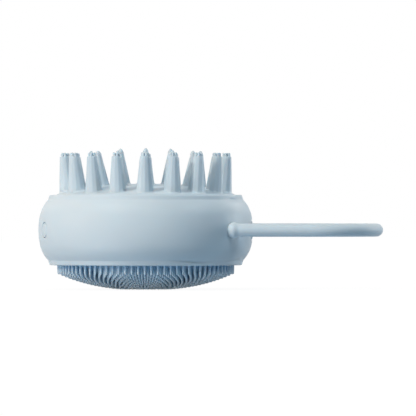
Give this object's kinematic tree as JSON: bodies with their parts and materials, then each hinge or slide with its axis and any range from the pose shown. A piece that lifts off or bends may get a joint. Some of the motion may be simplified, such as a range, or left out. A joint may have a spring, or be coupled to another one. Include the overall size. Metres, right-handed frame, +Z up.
{
  "type": "electric scalp massager",
  "caption": "Round soft-skinned electric scalp massager with fluted massage tines above, a bristle brush below, a power button, a flap over its charging port and a carrying loop.",
  "frame": {"origin": "centre of the flat that the brush stands on, on the axis of the round body", "axes": "+X along the carrying loop away from the body, +Z up through the massage tines, and the mid-plane of the body at z = 22.1 mm"},
  "size_m": [0.1284, 0.08, 0.0527],
  "materials": {
    "soft_silicone": "matt moulded silicone",
    "housing_plastic": "fine moulded texture",
    "seal_rubber": "matt",
    "steel": "plain",
    "board_laminate": "solder mask",
    "black_plastic": "matt",
    "ferrite": "pressed and ground",
    "capacitor_ceramic": "plain",
    "led_lens": "clear",
    "cell_sleeve": "shrink film over a metal can",
    "lead_jacket": "smooth",
    "foam": "closed-cell foam",
    "brass": "turned",
    "copper": "wound and stamped copper"
  },
  "bodies": {
    "housing": {"side_sleeve": "soft_silicone", "massage_head": "soft_silicone", "brush_pad": "soft_silicone", "brush_bristles": "soft_silicone", "cover_hinge": "soft_silicone", "carry_loop": "soft_silicone", "loop_anchors": "housing_plastic", "upper_shell": "housing_plastic", "lower_shell": "housing_plastic", "shell_seal": "seal_rubber", "shell_screws": "steel", "button_seal": "seal_rubber", "button_switch": "black_plastic", "usb_shell": "steel", "usb_tongue": "black_plastic", "port_gasket": "seal_rubber", "circuit_board": "board_laminate", "board_screws": "steel", "microcontroller": "black_plastic", "charger_chip": "black_plastic", "power_inductor": "ferrite", "board_capacitors": "capacitor_ceramic", "status_led": "led_lens", "battery_socket": "housing_plastic", "motor_socket": "housing_plastic", "battery_leads": "lead_jacket", "motor_leads": "lead_jacket", "battery_cell": "cell_sleeve", "protection_board": "board_laminate", "battery_pad": "foam", "motor_can": "steel", "motor_magnet": "ferrite", "motor_end_cap": "black_plastic", "motor_bushes": "brass", "motor_brushes": "copper", "motor_boot": "seal_rubber", "motor_clamp": "steel", "clamp_screws": "steel"},
    "button": {"button_cap": "soft_silicone", "button_stem": "housing_plastic", "switch_plunger": "housing_plastic"},
    "cover": {"port_cover": "soft_silicone"},
    "rotor": {"motor_armature": "copper", "motor_commutator": "copper", "motor_shaft": "steel", "eccentric_weight": "brass"}
  },
  "joints": [
    {"name": "button_press", "type": "slide", "parent": "housing", "child": "button", "axis": [0.9397, 0.342, 0], "range_m": [0, 0.0005], "stiffness_N_per_m": 1500, "springref_m": -0.0004},
    {"name": "cover_swing", "type": "hinge", "parent": "housing", "child": "cover", "pos_m": [0.0389, 0.009, 0.0221], "axis": [0, 0, 1], "range_deg": [0, 110]},
    {"name": "rotor_spin", "type": "hinge", "parent": "housing", "child": "rotor", "pos_m": [0, 0, 0.0221], "axis": [0, 0, 1], "continuous": true}
  ]
}
